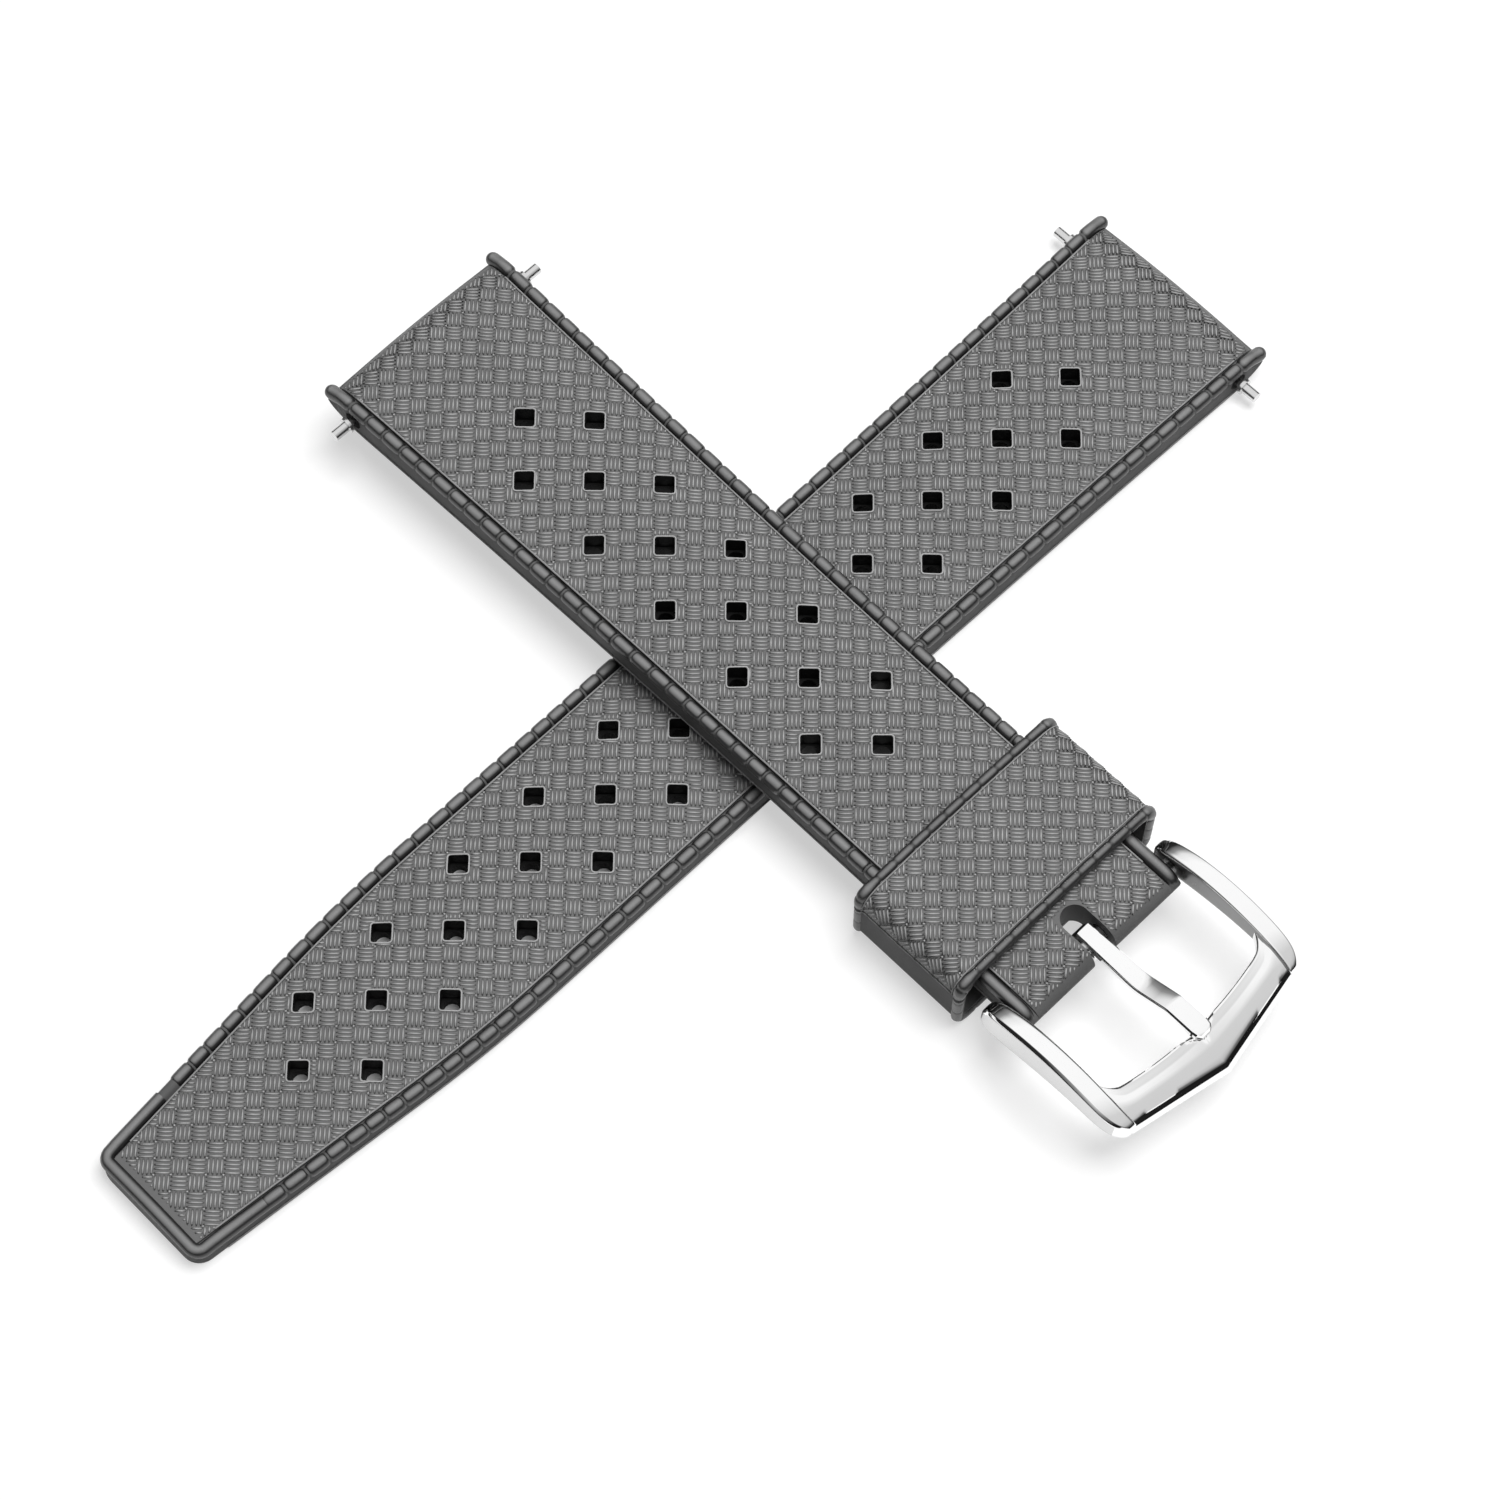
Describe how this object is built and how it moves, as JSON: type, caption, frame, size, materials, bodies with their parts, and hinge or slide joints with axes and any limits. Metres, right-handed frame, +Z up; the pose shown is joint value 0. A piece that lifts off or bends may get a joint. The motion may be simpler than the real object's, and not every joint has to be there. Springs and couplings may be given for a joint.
{
  "type": "rubber watch strap",
  "caption": "Moulded rubber watch strap in two perforated, woven-textured halves, one with a keeper and a pin buckle, each with a spring bar at its watch end.",
  "frame": {"origin": "centre of the bottom of the whole object's box, on the surface that the strap lies on", "axes": "+Y along the tail half from its tip to its watch end, +X along the buckle half from its watch end to the buckle, +Z up"},
  "size_m": [0.0952, 0.12, 0.0088],
  "materials": {
    "rubber": "matt moulded rubber with a woven relief",
    "polished_steel": "polished stainless steel",
    "bar_steel": "turned stainless steel",
    "spring_steel": "drawn spring wire"
  },
  "bodies": {
    "tail_half": {"tail_strap": "rubber", "tail_bar_tube": "bar_steel", "tail_bar_spring": "spring_steel"},
    "tail_plunger_left": {"tail_bar_plunger_left": "bar_steel"},
    "tail_plunger_right": {"tail_bar_plunger_right": "bar_steel"},
    "buckle_half": {"buckle_strap": "rubber", "lug_bar_tube": "bar_steel", "lug_bar_spring": "spring_steel", "buckle_bar_tube": "bar_steel", "buckle_bar_spring": "spring_steel"},
    "lug_plunger_left": {"lug_bar_plunger_left": "bar_steel"},
    "lug_plunger_right": {"lug_bar_plunger_right": "bar_steel"},
    "keeper_loop": {"keeper": "rubber"},
    "buckle": {"buckle_frame": "polished_steel"},
    "buckle_tang": {"tang": "polished_steel"},
    "buckle_plunger_left": {"buckle_bar_plunger_left": "bar_steel"},
    "buckle_plunger_right": {"buckle_bar_plunger_right": "bar_steel"}
  },
  "joints": [
    {"name": "buckle_half_lift", "type": "slide", "parent": "tail_half", "child": "buckle_half", "axis": [0, 0, 1], "range_m": [0, 0.04]},
    {"name": "keeper_slide", "type": "slide", "parent": "buckle_half", "child": "keeper_loop", "axis": [1, 0, 0], "range_m": [-0.011, 0.0005]},
    {"name": "buckle_swing", "type": "hinge", "parent": "buckle_half", "child": "buckle", "pos_m": [0.03235, 0.0083, 0.00541], "axis": [0, -1, 0], "range_deg": [-75, 40]},
    {"name": "tang_lift", "type": "hinge", "parent": "buckle", "child": "buckle_tang", "pos_m": [0.03235, 0.0083, 0.00541], "axis": [0, -1, 0], "range_deg": [0, 70]},
    {"name": "tail_plunger_left_press", "type": "slide", "parent": "tail_half", "child": "tail_plunger_left", "axis": [1, 0, 0], "range_m": [0, 0.00095], "stiffness_N_per_m": 400, "springref_m": -0.0005, "deforming": ["tail_bar_spring"]},
    {"name": "tail_plunger_right_press", "type": "slide", "parent": "tail_half", "child": "tail_plunger_right", "axis": [-1, 0, 0], "range_m": [0, 0.00095], "stiffness_N_per_m": 400, "springref_m": -0.0005, "deforming": ["tail_bar_spring"]},
    {"name": "lug_plunger_left_press", "type": "slide", "parent": "buckle_half", "child": "lug_plunger_left", "axis": [0, -1, 0], "range_m": [0, 0.00095], "stiffness_N_per_m": 400, "springref_m": -0.0005, "deforming": ["lug_bar_spring"]},
    {"name": "lug_plunger_right_press", "type": "slide", "parent": "buckle_half", "child": "lug_plunger_right", "axis": [0, 1, 0], "range_m": [0, 0.00095], "stiffness_N_per_m": 400, "springref_m": -0.0005, "deforming": ["lug_bar_spring"]},
    {"name": "buckle_plunger_left_press", "type": "slide", "parent": "buckle_half", "child": "buckle_plunger_left", "axis": [0, -1, 0], "range_m": [0, 0.0011], "stiffness_N_per_m": 400, "springref_m": -0.0005, "deforming": ["buckle_bar_spring"]},
    {"name": "buckle_plunger_right_press", "type": "slide", "parent": "buckle_half", "child": "buckle_plunger_right", "axis": [0, 1, 0], "range_m": [0, 0.0011], "stiffness_N_per_m": 400, "springref_m": -0.0005, "deforming": ["buckle_bar_spring"]}
  ]
}
